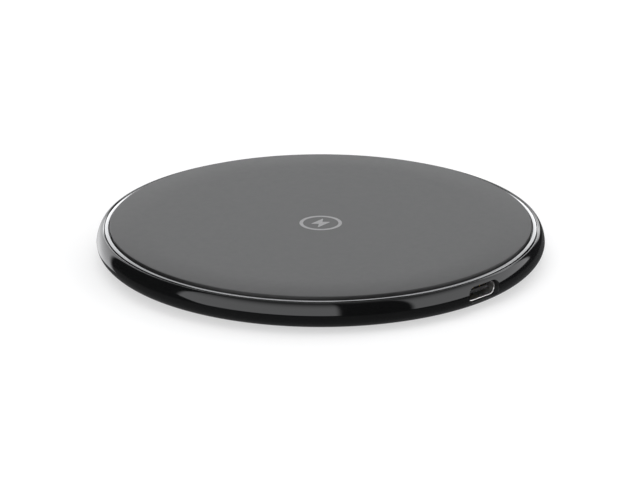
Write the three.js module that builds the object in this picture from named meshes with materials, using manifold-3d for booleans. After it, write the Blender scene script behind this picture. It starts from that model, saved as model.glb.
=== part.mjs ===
// Round wireless charging pad: a glossy cup-shaped base shell, a matte top cover inside a bright
// trim ring, and the coil, circuit board and USB-C receptacle that sit between them.
// Units are millimetres. +Z is up, the origin is under the centre of the pad on the surface it
// stands on, and the USB-C receptacle faces -Y.

import * as THREE from "three";
import { mergeVertices } from "three/addons/utils/BufferGeometryUtils.js";
import Module from "manifold-3d";

const wasm = await Module();
wasm.setup();

// ---------------------------------------------------------------- driving dimensions

const PAD_RADIUS = 50; // widest radius of the base shell
const PAD_SEGMENTS = 72; // facets round every large circle
const COIL_SEGMENTS = 48; // facets round the coil and what lies under it
const SMALL_SEGMENTS = 16; // facets round screws and bosses
const SLOT_END_STEPS = 5; // pairs of facets round each end of a slot outline
const FLANK_STEPS = 7; // facets up each half of the shell's rounded side
const EDGE_STEPS = 4; // facets round the cover's edge
const PAST = 1; // how far a cut runs past the face that it opens

// Base shell
const FOOT_PROUD = 0.5; // how far the foot ring holds the shell off the table
const WAIST_BELOW_PORT = 0.2; // shell's widest level under the receptacle's centre
const CREST_BELOW_TRIM = 0.15; // shell's crest under the trim ring's inner edge
const CREST_INSET = 1.3; // crest's start inside the widest radius
const CREST_WIDTH = 0.25; // level top of the rim
const CREST_CHAMFER = 0.15; // broken edge at the mouth
const BASE_INSET = 4.5; // flat underside's edge inside the widest radius
const UPPER_POWER = 1.28; // 1 is an ellipse, more is straighter
const LOWER_POWER = 1.07;
const FLOOR_THICKNESS = 0.95;
const SIDE_WALL = 2.4; // wall at the widest level
const LEDGE_WIDTH = 0.7; // step that carries the top frame
const BILGE_INSET = [1.0, 3.0]; // inner wall's two knuckles, inside the side wall
const BILGE_HEIGHT = [0.75, 1.95]; // lower and upper knuckle above the floor

// Foot ring
const FOOT_WIDTH = 8;
const FOOT_INSET = 7.5; // ring's outer edge inside the shell's widest radius
const FOOT_GROOVE = 0.3; // groove depth in the shell's underside
const FOOT_GAP = 0.2; // round the ring in its groove
const FOOT_TAPE = 0.1;

// Top frame, trim ring and top cover
const FRAME_THICKNESS = 0.75;
const FRAME_HEADROOM = 0.07; // between the receptacle and the frame
const FRAME_GAP = 0.18; // between the shell's mouth and what fits in it
const TRIM_WIDTH = 0.76;
const TRIM_HEIGHT = 0.55;
const TRIM_SLOPE = 0.12; // fall of the ring's bevelled face towards its outside
const COVER_GAP = 0.31; // between the trim ring and the cover
const COVER_TAPE = 0.15;
const COVER_THICKNESS = 1.2;
const COVER_CROWN_INSET = 9; // the level part ends this far inside the cover's edge
const COVER_CROWN_FALL = 0.22; // gentle fall from there to the edge
const COVER_CROWN_POWER = 2; // how late the fall comes
const COVER_CROWN_STEPS = 3;
const COVER_EDGE_RADIUS = 0.2; // round along the edge, over an upright side
const COVER_TAPE_WIDTH = 4;
const COVER_TAPE_INSET = 0.3;

// Case screws, which pass the shell's floor and end in the top frame's bosses
const SCREW_ANGLES = [-128, -52, 52, 128]; // degrees from +X; the first two also clamp the board
const SCREW_RADIUS = 1;
const SCREW_HEAD_RADIUS = 1.8;
const SCREW_HEIGHT = 4.3;
const SCREW_FIT = 0.08; // radial clearance round the shank in its boss
const SCREW_CLEARANCE = 0.25; // radial clearance through the floor and the board
const RECESS_DEPTH = 0.5; // cross recess in the head
const RECESS_SPAN = 2;
const RECESS_WIDTH = 0.42;
const BOSS_RADIUS = 2.3;
const SEAT_RADIUS = 2.9; // raised seat round each screw on the floor
const SEAT_HEIGHT = 0.3;
const BOSS_GAP = 0.05; // between a boss and what it presses on

// Circuit board, a crescent in front of the coil
const BOARD_THICKNESS = 0.8;
const BOARD_WALL_GAP = 0.7; // between the board and the shell's wall beside its lower face
const BOARD_RIB_GAP = 0.95; // between the board and the frame's rib
const BOARD_HALF_ANGLE = 72; // degrees to each side of -Y
const BOARD_EDGE_STEPS = 16; // pairs of facets along each curved edge

// USB-C receptacle
const PORT_WIDTH = 8.94;
const PORT_HEIGHT = 3.26;
const PORT_WALL = 0.25;
const PORT_LENGTH = 9;
const PORT_RECESS = 1.4; // mouth inside the shell's widest radius
const PORT_BOARD_GAP = 0.02; // receptacle's underside over the board
const PORT_CUT_CLEARANCE = 0.38; // shell's cut-out round the receptacle, each way
const PORT_CUT_HEIGHT_CLEARANCE = 0.22;
const TONGUE_WIDTH = 6.69;
const TONGUE_THICKNESS = 0.7;
const TONGUE_RECESS = 1.2; // tongue's tip inside the mouth
const SOCKET_DEPTH = 6.2; // mouth to the insulator's face
const INSULATOR_GAP = 0.04;
const INSULATOR_INSET = 0.2; // insulator's rear inside the shell's
const TAB_THICKNESS = 0.3; // solder tabs at the receptacle's sides
const TAB_PROUD = 0.1;
const TAB_LENGTH = 1;
const TAB_POSITIONS = [4.4, 7.6]; // front edge of each pair behind the mouth
const TAB_CLEARANCE = 0.2;
const TAB_BELOW_BOARD = 0.15;
const CONTACT_THICKNESS = 0.15;
const CONTACT_TIP = 0.6; // contact's end behind the tongue's tip
const CONTACT_REAR_GAP = 0.1; // contacts' drop behind the shell
const CONTACT_FOOT = 0.9;
const CONTACTS = [
  { x: -0.5, width: 0.3, above: true },
  { x: 1.52, width: 0.6, above: true },
  { x: 2.75, width: 0.6, above: true },
  { x: 0.5, width: 0.3, above: false },
  { x: -1.52, width: 0.6, above: false },
  { x: -2.75, width: 0.6, above: false },
];

// Coil, ferrite and what holds them
const COIL_INNER_RADIUS = 10.25;
const COIL_TURNS = 10;
const COIL_WIRE = 1.15; // litz bundle's diameter
const COIL_FILM = 0.1;
const COIL_FILM_MARGIN = 1.5;
const FERRITE_MARGIN = 3; // ferrite beyond the coil
const FERRITE_THICKNESS = 0.9;
const FERRITE_SLOT_WIDTH = 2;
const LEAD_ANGLE = 4; // degrees from -Y to each lead
const LEAD_WRAP = 20; // degrees that the outer lead follows the coil's edge
const LEAD_REACH = 2.5; // lead's length over the board
const LEAD_DIAMETER = 0.6;
const LEAD_GAP = 0.12; // between a lead and the coil or the board it is soldered to
const LEAD_SIDE_PAIRS = 4; // pairs of facets round a lead
const LEAD_STEPS = 22;
const RIB_GAP = 0.5; // locating rib round the ferrite
const RIB_THICKNESS = 0.8;
const FOAM_RADIUS = 18;
const FOAM_GAP = 0.05; // slack between the foam and the shell's floor

// Surface-mounted parts, in clusters along the board. A cluster's angle is in degrees from -Y
// towards +X. Each part has its place along the board and outwards from the board's middle line,
// and its length, its width outwards and its height.
const CLUSTERS = [
  {
    angle: -62,
    parts: [
      { name: "voltage_regulator", at: [-1.5, 0], size: [1.6, 2.9, 1.1], material: "chip" },
      { name: "filter_inductor", at: [2.6, 0], size: [4, 4, 1.8], material: "ferrite" },
    ],
  },
  {
    angle: -24,
    parts: [{ name: "controller_ic", at: [0, 0], size: [6, 6, 0.85], material: "chip" }],
  },
  {
    angle: -12.5,
    parts: [-2.4, 0, 2.4].map((outward, i) => ({
      name: `input_capacitor_${i + 1}`,
      at: [0, outward],
      size: [3.2, 1.6, 1.6],
      material: "ceramic",
    })),
  },
  {
    angle: 13,
    parts: [{ name: "sense_resistor", at: [0, 0], size: [3.2, 6.3, 0.6], material: "chip" }],
  },
  {
    angle: 22,
    parts: [-2.1, 2.1].map((outward, i) => ({
      name: `bridge_mosfet_${i + 1}`,
      at: [0, outward],
      size: [3.3, 3.3, 0.8],
      material: "chip",
    })),
  },
  {
    angle: 54,
    parts: [[-2.1, -1.8], [2.1, -1.8], [-2.1, 1.8], [2.1, 1.8]].map((at, i) => ({
      name: `resonant_capacitor_${i + 1}`,
      at,
      size: [3.2, 2.5, 2],
      material: "ceramic",
    })),
  },
];
const SOLDER_GAP = 0.02; // each part over the board

// Thermistor bead under the ferrite, with two legs out to the board
const BEAD_RADIUS = 0.6;
const BEAD_INSET = 3.25; // bead's centre inside the ferrite's edge
const BEAD_ANGLE = 31; // degrees from -Y
const BEAD_GAP = 0.05;
const LEG_DIAMETER = 0.3;
const LEG_SPACING = 1.2;
const LEG_REACH = 2; // leg's length over the board
const LEG_STEPS = 8;

// ---------------------------------------------------------------- derived levels and radii

const shellBottom = FOOT_PROUD;
const floorTop = shellBottom + FLOOR_THICKNESS;
const crestRadius = PAD_RADIUS - CREST_INSET; // outer edge of the level crest
const mouthRadius = crestRadius - CREST_WIDTH - CREST_CHAMFER;
const wallRadius = PAD_RADIUS - SIDE_WALL;

const footRadius = PAD_RADIUS - FOOT_INSET - FOOT_WIDTH / 2; // middle of the foot ring's width
const footInner = footRadius - FOOT_WIDTH / 2;
const footOuter = footRadius + FOOT_WIDTH / 2;
const grooveTop = shellBottom + FOOT_GROOVE;
const footTop = grooveTop - FOOT_TAPE;

const boardBottom = floorTop + SEAT_HEIGHT;
const boardTop = boardBottom + BOARD_THICKNESS;
const portZ = boardTop + PORT_BOARD_GAP + PORT_HEIGHT / 2;
const portMouth = -(PAD_RADIUS - PORT_RECESS);
const portRear = portMouth + PORT_LENGTH;

const frameBottom = portZ + PORT_HEIGHT / 2 + FRAME_HEADROOM;
const frameTop = frameBottom + FRAME_THICKNESS;
const fittedRadius = mouthRadius - FRAME_GAP; // top frame and trim ring
const trimInner = fittedRadius - TRIM_WIDTH;
const trimTop = frameTop + TRIM_HEIGHT;
const shellCrest = trimTop - CREST_BELOW_TRIM;
const waist = portZ - WAIST_BELOW_PORT;
const coverBottom = frameTop + COVER_TAPE;
const coverTop = coverBottom + COVER_THICKNESS;
const coverRadius = trimInner - COVER_GAP;

const coilOuterRadius = COIL_INNER_RADIUS + COIL_TURNS * COIL_WIRE;
const coilTop = frameBottom - COIL_FILM;
const coilBottom = coilTop - COIL_WIRE;
const ferriteBottom = coilBottom - FERRITE_THICKNESS;
const ferriteRadius = coilOuterRadius + FERRITE_MARGIN;
const ribInner = ferriteRadius + RIB_GAP;
const ribOuter = ribInner + RIB_THICKNESS;
const ribBottom = ferriteBottom + FERRITE_THICKNESS / 2;

// Radius of the shell's inner wall at a height between the floor and the upper knuckle
function bilgeRadius(z) {
  const [near, far] = BILGE_INSET;
  const [low, high] = BILGE_HEIGHT;
  const above = z - floorTop;
  return above < low
    ? wallRadius - far + (above / low) * (far - near)
    : wallRadius - near + ((above - low) / (high - low)) * near;
}
const boardInner = ribOuter + BOARD_RIB_GAP;
const boardOuter = bilgeRadius(boardBottom) - BOARD_WALL_GAP;
const boardMiddle = (boardInner + boardOuter) / 2;
const chipBottom = boardTop + SOLDER_GAP;

// ---------------------------------------------------------------- materials

const finish = (color, roughness, metalness) =>
  new THREE.MeshStandardMaterial({ color, roughness, metalness });

const MATERIALS = {
  cover: finish(0x2b2b2c, 0.5, 0),
  gloss: finish(0x08080a, 0.08, 0),
  frame: finish(0x17181a, 0.6, 0),
  trim: finish(0xd9dcde, 0.18, 1),
  silicone: finish(0x1d1e20, 0.85, 0),
  tape: finish(0xb9b7ad, 0.7, 0),
  film: finish(0xb7791f, 0.3, 0),
  foam: finish(0x2a2a2c, 0.95, 0),
  screw: finish(0x9fa2a6, 0.3, 1),
  board: finish(0x0f4d2c, 0.4, 0),
  steel: finish(0xc9cbcd, 0.25, 1),
  insulator: finish(0x141414, 0.5, 0),
  gold: finish(0xd9a441, 0.25, 1),
  copper: finish(0xb36a35, 0.4, 1),
  ferrite: finish(0x2f2e30, 0.6, 0.2),
  chip: finish(0x121214, 0.45, 0),
  ceramic: finish(0x9c7f5c, 0.5, 0),
  bead: finish(0x1a1a1c, 0.35, 0),
};

// ---------------------------------------------------------------- geometry helpers

// A manifold-3d solid of a closed three.js geometry
function solidOf(geometry) {
  const bare = geometry.clone();
  bare.deleteAttribute("normal");
  bare.deleteAttribute("uv");
  const merged = mergeVertices(bare, 1e-4);
  return new wasm.Manifold(
    new wasm.Mesh({
      numProp: 3,
      vertProperties: new Float32Array(merged.attributes.position.array),
      triVerts: new Uint32Array(merged.index.array),
    }),
  );
}

// The geometry of a manifold-3d solid
function geometryOf(solid) {
  const mesh = solid.getMesh();
  return new THREE.BufferGeometry()
    .setAttribute("position", new THREE.BufferAttribute(mesh.vertProperties, 3))
    .setIndex(new THREE.BufferAttribute(mesh.triVerts, 1));
}

// Turns a profile of [radius, height] points round Z. The points run anticlockwise, with the
// radius to the right and the height up, and a profile that misses the axis is closed here.
function turned(profile, segments = PAD_SEGMENTS) {
  const points = profile.map(([r, z]) => new THREE.Vector2(r, z));
  if (profile[0][0] > 0) points.push(points[0].clone());
  return new THREE.LatheGeometry(points, segments).rotateX(Math.PI / 2);
}

// A flat ring, and a flat disc
function turnedRing(inner, outer, low, high, segments = PAD_SEGMENTS) {
  return turned([[inner, low], [outer, low], [outer, high], [inner, high]], segments);
}

function turnedDisc(radius, low, high) {
  return turned([[0, low], [radius, low], [radius, high], [0, high]], COIL_SEGMENTS);
}

// An upright prism of a shape drawn in X and Y
function upright(shape, low, high, curveSegments) {
  return new THREE.ExtrudeGeometry(shape, {
    depth: high - low,
    bevelEnabled: false,
    curveSegments,
  }).translate(0, 0, low);
}

function cylinder(radius, x, y, low, high) {
  return new THREE.CylinderGeometry(radius, radius, high - low, SMALL_SEGMENTS)
    .rotateX(Math.PI / 2)
    .translate(x, y, (low + high) / 2);
}

function box(x, y, z) {
  return new THREE.BoxGeometry(x[1] - x[0], y[1] - y[0], z[1] - z[0]).translate(
    (x[0] + x[1]) / 2,
    (y[0] + y[1]) / 2,
    (z[0] + z[1]) / 2,
  );
}

// A shape drawn in X and Z, extruded along Y
function alongY(shape, front, back) {
  const axes = new THREE.Matrix4().makeBasis(
    new THREE.Vector3(1, 0, 0),
    new THREE.Vector3(0, 0, 1),
    new THREE.Vector3(0, -1, 0),
  );
  return new THREE.ExtrudeGeometry(shape, {
    depth: back - front,
    bevelEnabled: false,
    curveSegments: SLOT_END_STEPS,
  })
    .applyMatrix4(axes)
    .translate(0, back, 0);
}

// A shape drawn in Y and Z, extruded along X
function alongX(shape, left, right) {
  const axes = new THREE.Matrix4().makeBasis(
    new THREE.Vector3(0, 1, 0),
    new THREE.Vector3(0, 0, 1),
    new THREE.Vector3(1, 0, 0),
  );
  return new THREE.ExtrudeGeometry(shape, { depth: right - left, bevelEnabled: false })
    .applyMatrix4(axes)
    .translate(left, 0, 0);
}

// A slot outline with round ends, centred at a height
function stadium(width, height, centreHeight) {
  const radius = height / 2;
  const reach = width / 2 - radius;
  return new THREE.Shape()
    .moveTo(-reach, centreHeight - radius)
    .lineTo(reach, centreHeight - radius)
    .absarc(reach, centreHeight, radius, -Math.PI / 2, Math.PI / 2, false)
    .lineTo(-reach, centreHeight + radius)
    .absarc(-reach, centreHeight, radius, Math.PI / 2, (3 * Math.PI) / 2, false);
}

// A round tube along a smooth curve through the points
function tube(points, diameter, steps) {
  const section = new THREE.Shape().absarc(0, 0, diameter / 2, 0, 2 * Math.PI, false);
  return new THREE.ExtrudeGeometry(section, {
    steps,
    curveSegments: LEAD_SIDE_PAIRS,
    extrudePath: new THREE.CatmullRomCurve3(points.map((p) => new THREE.Vector3(...p))),
  });
}

function polar(radius, degrees) {
  const angle = THREE.MathUtils.degToRad(degrees);
  return [radius * Math.cos(angle), radius * Math.sin(angle)];
}

// A point at a height, with its angle in degrees from -Y towards +X
const fromFront = (radius, angle, z) => [...polar(radius, angle - 90), z];

// Points of a quarter curve from a level start to an upright end
function quarter(level, uprightEnd, power, steps) {
  return Array.from({ length: steps + 1 }, (_, i) => {
    const angle = (i / steps) * (Math.PI / 2);
    const across = i === steps ? 1 : Math.sin(angle) ** power;
    const down = i === steps ? 0 : Math.cos(angle) ** power;
    return [
      level[0] + (uprightEnd[0] - level[0]) * across,
      uprightEnd[1] + (level[1] - uprightEnd[1]) * down,
    ];
  });
}

// ---------------------------------------------------------------- the model

const pad = new THREE.Group();
const screwPlaces = SCREW_ANGLES.map((angle) => polar(footRadius, angle));
const screwHeadHeight = SCREW_HEAD_RADIUS - SCREW_RADIUS;
const screwHoleRadius = SCREW_RADIUS + SCREW_CLEARANCE; // through the floor and the board

function addPart(name, shape, material, parent = pad) {
  const geometry = shape.isBufferGeometry ? shape : geometryOf(shape);
  geometry.computeVertexNormals();
  const mesh = new THREE.Mesh(geometry, MATERIALS[material]);
  mesh.name = name;
  parent.add(mesh);
  return mesh;
}

function baseShell() {
  const flankLow = quarter(
    [PAD_RADIUS - BASE_INSET, shellBottom],
    [PAD_RADIUS, waist],
    LOWER_POWER,
    FLANK_STEPS,
  );
  const flankHigh = quarter([crestRadius, shellCrest], [PAD_RADIUS, waist], UPPER_POWER, FLANK_STEPS);
  let shell = solidOf(
    turned([
      [0, shellBottom],
      [footInner - FOOT_GAP, shellBottom],
      [footInner - FOOT_GAP, grooveTop],
      [footOuter + FOOT_GAP, grooveTop],
      [footOuter + FOOT_GAP, shellBottom],
      ...flankLow,
      ...flankHigh.reverse().slice(1),
      [crestRadius - CREST_WIDTH, shellCrest],
      [mouthRadius, shellCrest - CREST_CHAMFER],
      [mouthRadius, frameBottom],
      [mouthRadius - LEDGE_WIDTH, frameBottom],
      [wallRadius, floorTop + BILGE_HEIGHT[1]],
      [wallRadius - BILGE_INSET[0], floorTop + BILGE_HEIGHT[0]],
      [wallRadius - BILGE_INSET[1], floorTop],
      [0, floorTop],
    ]),
  );
  for (const [x, y] of screwPlaces) {
    const countersink = new THREE.CylinderGeometry(
      screwHoleRadius,
      SCREW_HEAD_RADIUS + SCREW_CLEARANCE,
      screwHeadHeight,
      SMALL_SEGMENTS,
    )
      .rotateX(Math.PI / 2)
      .translate(x, y, grooveTop + screwHeadHeight / 2);
    shell = shell
      .add(solidOf(cylinder(SEAT_RADIUS, x, y, floorTop - SEAT_HEIGHT, boardBottom)))
      .subtract(solidOf(countersink))
      .subtract(solidOf(cylinder(screwHoleRadius, x, y, shellBottom, boardBottom + PAST)));
  }
  const cutOut = stadium(
    PORT_WIDTH + 2 * PORT_CUT_CLEARANCE,
    PORT_HEIGHT + 2 * PORT_CUT_HEIGHT_CLEARANCE,
    portZ,
  );
  return shell.subtract(solidOf(alongY(cutOut, -PAD_RADIUS - PAST, portRear)));
}

function topFrame() {
  let frame = solidOf(
    turned([
      [0, frameBottom],
      [ribInner, frameBottom],
      [ribInner, ribBottom],
      [ribOuter, ribBottom],
      [ribOuter, frameBottom],
      [fittedRadius, frameBottom],
      [fittedRadius, frameTop],
      [0, frameTop],
    ]),
  );
  const boreTop = grooveTop + SCREW_HEIGHT + SCREW_FIT;
  for (const [x, y] of screwPlaces) {
    const foot = (y < 0 ? boardTop : boardBottom) + BOSS_GAP;
    frame = frame
      .add(solidOf(cylinder(BOSS_RADIUS, x, y, foot, frameTop - FRAME_THICKNESS / 2)))
      .subtract(solidOf(cylinder(SCREW_RADIUS + SCREW_FIT, x, y, foot - PAST, boreTop)));
  }
  // the rib opens where the coil's leads pass it
  const reach = Math.abs(fromFront(ribOuter, -LEAD_ANGLE, 0)[0]) + 2 * LEAD_DIAMETER;
  const opening = box(
    [-reach, reach],
    [-ribOuter - PAST, -ferriteRadius + PAST],
    [ribBottom - PAST, frameBottom],
  );
  return frame.subtract(solidOf(opening));
}

function topCover() {
  const crownStart = coverRadius - COVER_CROWN_INSET;
  const edgeStart = coverRadius - COVER_EDGE_RADIUS;
  const edgeTop = coverTop - COVER_CROWN_FALL;
  const crown = Array.from({ length: COVER_CROWN_STEPS }, (_, i) => {
    const share = i / COVER_CROWN_STEPS;
    return [
      crownStart + (edgeStart - crownStart) * share,
      coverTop - COVER_CROWN_FALL * share ** COVER_CROWN_POWER,
    ];
  });
  const edge = quarter([edgeStart, edgeTop], [coverRadius, edgeTop - COVER_EDGE_RADIUS], 1, EDGE_STEPS);
  return turned([
    [0, coverBottom],
    [coverRadius, coverBottom],
    ...edge.reverse(),
    ...crown.reverse(),
    [0, coverTop],
  ]);
}

function trimRing() {
  return turned([
    [trimInner, frameTop],
    [fittedRadius, frameTop],
    [fittedRadius, trimTop - TRIM_SLOPE],
    [trimInner, trimTop],
  ]);
}

function caseScrew(x, y) {
  let screw = solidOf(
    turned(
      [
        [0, grooveTop],
        [SCREW_HEAD_RADIUS, grooveTop],
        [SCREW_RADIUS, grooveTop + screwHeadHeight],
        [SCREW_RADIUS, grooveTop + SCREW_HEIGHT - SCREW_RADIUS / 2],
        [SCREW_RADIUS / 2, grooveTop + SCREW_HEIGHT],
        [0, grooveTop + SCREW_HEIGHT],
      ],
      SMALL_SEGMENTS,
    ).translate(x, y, 0),
  );
  for (const [wide, deep] of [[RECESS_SPAN, RECESS_WIDTH], [RECESS_WIDTH, RECESS_SPAN]]) {
    const arm = box(
      [x - wide / 2, x + wide / 2],
      [y - deep / 2, y + deep / 2],
      [grooveTop - PAST, grooveTop + RECESS_DEPTH],
    );
    screw = screw.subtract(solidOf(arm));
  }
  return screw;
}

const widened = ([low, high], by) => [low - by, high + by];

// The receptacle's solder tabs: their spans across the board, one on each side, and along it
const tabOuter = PORT_WIDTH / 2 + TAB_PROUD;
const tabSides = [
  [-tabOuter, TAB_THICKNESS - tabOuter],
  [tabOuter - TAB_THICKNESS, tabOuter],
];
const tabSpans = TAB_POSITIONS.map((behind) => [portMouth + behind, portMouth + behind + TAB_LENGTH]);

function mainBoard() {
  const start = THREE.MathUtils.degToRad(-90 - BOARD_HALF_ANGLE);
  const end = THREE.MathUtils.degToRad(-90 + BOARD_HALF_ANGLE);
  const outline = new THREE.Shape()
    .absarc(0, 0, boardOuter, start, end, false)
    .absarc(0, 0, boardInner, end, start, true);
  let board = solidOf(upright(outline, boardBottom, boardTop, BOARD_EDGE_STEPS));
  const through = [boardBottom - PAST, boardTop + PAST];
  for (const [x, y] of screwPlaces.filter(([, y]) => y < 0))
    board = board.subtract(solidOf(cylinder(screwHoleRadius, x, y, ...through)));
  for (const side of tabSides)
    for (const span of tabSpans)
      board = board.subtract(
        solidOf(box(widened(side, TAB_CLEARANCE), widened(span, TAB_CLEARANCE), through)),
      );
  return board;
}

function receptacleShell() {
  const outer = solidOf(alongY(stadium(PORT_WIDTH, PORT_HEIGHT, portZ), portMouth, portRear));
  const bore = stadium(PORT_WIDTH - 2 * PORT_WALL, PORT_HEIGHT - 2 * PORT_WALL, portZ);
  let shell = outer.subtract(solidOf(alongY(bore, portMouth - PAST, portRear + PAST)));
  for (const side of tabSides)
    for (const span of tabSpans)
      shell = shell.add(solidOf(box(side, span, [boardBottom - TAB_BELOW_BOARD, portZ])));
  return shell;
}

const tongueTip = portMouth + TONGUE_RECESS;
const insulatorRear = portRear - INSULATOR_INSET;
const contactDrop = portRear + CONTACT_REAR_GAP;

// Outline, in Y and Z, of a contact with its tail on the board, grown by a clearance
function contactOutline(above, grown) {
  const outward = above ? 1 : -1;
  const surface = portZ + (outward * TONGUE_THICKNESS) / 2;
  const other = surface + outward * CONTACT_THICKNESS;
  const [low, high] = widened([Math.min(surface, other), Math.max(surface, other)], grown);
  const tip = tongueTip + CONTACT_TIP - grown;
  const back = contactDrop + CONTACT_THICKNESS;
  return new THREE.Shape([
    new THREE.Vector2(tip, low),
    new THREE.Vector2(contactDrop, low),
    new THREE.Vector2(contactDrop, chipBottom),
    new THREE.Vector2(contactDrop + CONTACT_FOOT, chipBottom),
    new THREE.Vector2(contactDrop + CONTACT_FOOT, chipBottom + CONTACT_THICKNESS),
    new THREE.Vector2(back, chipBottom + CONTACT_THICKNESS),
    new THREE.Vector2(back, high),
    new THREE.Vector2(tip, high),
  ]);
}

function contact({ x, width, above }, grown = 0) {
  return alongX(contactOutline(above, grown), x - width / 2 - grown, x + width / 2 + grown);
}

function receptacleInsulator() {
  const inset = 2 * (PORT_WALL + INSULATOR_GAP);
  const block = stadium(PORT_WIDTH - inset, PORT_HEIGHT - inset, portZ);
  const face = portMouth + SOCKET_DEPTH;
  let insulator = solidOf(alongY(block, face, insulatorRear)).add(
    solidOf(
      box(
        [-TONGUE_WIDTH / 2, TONGUE_WIDTH / 2],
        [tongueTip, face + PAST],
        [portZ - TONGUE_THICKNESS / 2, portZ + TONGUE_THICKNESS / 2],
      ),
    ),
  );
  for (const each of CONTACTS) insulator = insulator.subtract(solidOf(contact(each, INSULATOR_GAP)));
  return insulator;
}

function ferriteShield() {
  const disc = solidOf(turnedDisc(ferriteRadius, ferriteBottom, coilBottom));
  const slot = box(
    [-FERRITE_SLOT_WIDTH / 2, FERRITE_SLOT_WIDTH / 2],
    [-ferriteRadius - PAST, FERRITE_SLOT_WIDTH - COIL_INNER_RADIUS],
    [ferriteBottom - PAST, coilBottom + PAST],
  ).rotateZ(THREE.MathUtils.degToRad(LEAD_ANGLE));
  return disc.subtract(solidOf(slot));
}

const leadOnBoard = boardTop + LEAD_GAP + LEAD_DIAMETER / 2;

// The inner lead drops into the ferrite's slot and runs out along it to the board.
function innerLead() {
  const at = (radius, z) => fromFront(radius, LEAD_ANGLE, z);
  const slotLevel = coilBottom - LEAD_GAP - LEAD_DIAMETER / 2;
  return tube(
    [
      at(COIL_INNER_RADIUS - LEAD_DIAMETER, coilBottom + LEAD_DIAMETER / 2),
      at(COIL_INNER_RADIUS, slotLevel),
      at(COIL_INNER_RADIUS + LEAD_DIAMETER, slotLevel),
      at((COIL_INNER_RADIUS + ferriteRadius) / 2, slotLevel),
      at(ferriteRadius - LEAD_DIAMETER, slotLevel),
      at(ferriteRadius, slotLevel),
      at(boardInner + LEAD_REACH / 3, leadOnBoard),
      at(boardInner + LEAD_REACH, leadOnBoard),
    ],
    LEAD_DIAMETER,
    LEAD_STEPS,
  );
}

// The outer lead leaves the coil's edge over the ferrite and drops to the board beside the other.
function outerLead() {
  const at = (radius, turn, z) => fromFront(radius, -LEAD_ANGLE - turn, z);
  const level = coilBottom + LEAD_DIAMETER / 2 + LEAD_GAP;
  const clear = coilOuterRadius + LEAD_DIAMETER / 2 + LEAD_GAP;
  return tube(
    [
      at(clear, LEAD_WRAP, level),
      at(clear + LEAD_GAP, LEAD_WRAP / 2, level),
      at(ferriteRadius, LEAD_WRAP / 20, level),
      at(ribOuter, 0, (level + leadOnBoard) / 2),
      at(boardInner + LEAD_REACH / 3, 0, leadOnBoard),
      at(boardInner + LEAD_REACH, 0, leadOnBoard),
    ],
    LEAD_DIAMETER,
    LEAD_STEPS,
  );
}

function thermistor() {
  const at = (radius, sideways, z) => {
    const [x, y] = fromFront(radius, BEAD_ANGLE, 0);
    const [dx, dy] = fromFront(sideways, BEAD_ANGLE + 90, 0);
    return [x + dx, y + dy, z];
  };
  const beadRadius = ferriteRadius - BEAD_INSET;
  const beadZ = ferriteBottom - BEAD_GAP - BEAD_RADIUS;
  const onBoard = chipBottom + LEG_DIAMETER / 2;
  const bead = new THREE.SphereGeometry(BEAD_RADIUS, SMALL_SEGMENTS, SMALL_SEGMENTS / 2);
  let part = solidOf(bead.translate(...at(beadRadius, 0, beadZ)));
  for (const side of [-LEG_SPACING / 2, LEG_SPACING / 2]) {
    const leg = tube(
      [
        at(beadRadius, side / 2, beadZ),
        at(ferriteRadius, side, beadZ),
        at(boardInner + LEG_DIAMETER, side, onBoard + LEG_DIAMETER / 3),
        at(boardInner + LEG_REACH, side, onBoard),
      ],
      LEG_DIAMETER,
      LEG_STEPS,
    );
    part = part.add(solidOf(leg));
  }
  return part;
}

function addClusters() {
  for (const { angle, parts } of CLUSTERS) {
    const cluster = new THREE.Group();
    cluster.rotation.z = THREE.MathUtils.degToRad(angle);
    pad.add(cluster);
    for (const { name, at, size, material } of parts) {
      const [along, outward] = at;
      const chip = addPart(name, new THREE.BoxGeometry(...size), material, cluster);
      chip.position.set(along, -boardMiddle - outward, chipBottom + size[2] / 2);
    }
  }
}

addPart("base_shell", baseShell(), "gloss");
addPart("top_frame", topFrame(), "frame");
addPart("top_cover", topCover(), "cover");
addPart("trim_ring", trimRing(), "trim");
addPart(
  "cover_adhesive",
  turnedRing(
    coverRadius - COVER_TAPE_INSET - COVER_TAPE_WIDTH,
    coverRadius - COVER_TAPE_INSET,
    frameTop,
    coverBottom,
  ),
  "tape",
);
addPart("foot_ring", turnedRing(footInner, footOuter, 0, footTop), "silicone");
addPart(
  "foot_adhesive",
  turnedRing(footInner + FOOT_GAP, footOuter - FOOT_GAP, footTop, grooveTop),
  "tape",
);
screwPlaces.forEach(([x, y], i) => addPart(`case_screw_${i + 1}`, caseScrew(x, y), "screw"));

addPart("main_board", mainBoard(), "board");
addPart("usb_shell", receptacleShell(), "steel");
addPart("usb_insulator", receptacleInsulator(), "insulator");
CONTACTS.forEach((each, i) => addPart(`usb_contact_${i + 1}`, contact(each), "gold"));

addPart(
  "tx_coil",
  turnedRing(COIL_INNER_RADIUS, coilOuterRadius, coilBottom, coilTop, COIL_SEGMENTS),
  "copper",
);
addPart("coil_lead_inner", innerLead(), "copper");
addPart("coil_lead_outer", outerLead(), "copper");
addPart(
  "coil_film",
  turnedRing(
    COIL_INNER_RADIUS - COIL_FILM_MARGIN,
    coilOuterRadius + COIL_FILM_MARGIN,
    coilTop,
    frameBottom,
    COIL_SEGMENTS,
  ),
  "film",
);
addPart("ferrite_shield", ferriteShield(), "ferrite");
addPart("foam_pad", turnedDisc(FOAM_RADIUS, floorTop + FOAM_GAP, ferriteBottom), "foam");
addPart("thermistor", thermistor(), "bead");
addClusters();

export default pad;
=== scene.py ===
from math import atan, atan2, cos, dist, hypot, pi, radians, remainder, sin, sqrt, tan

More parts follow.
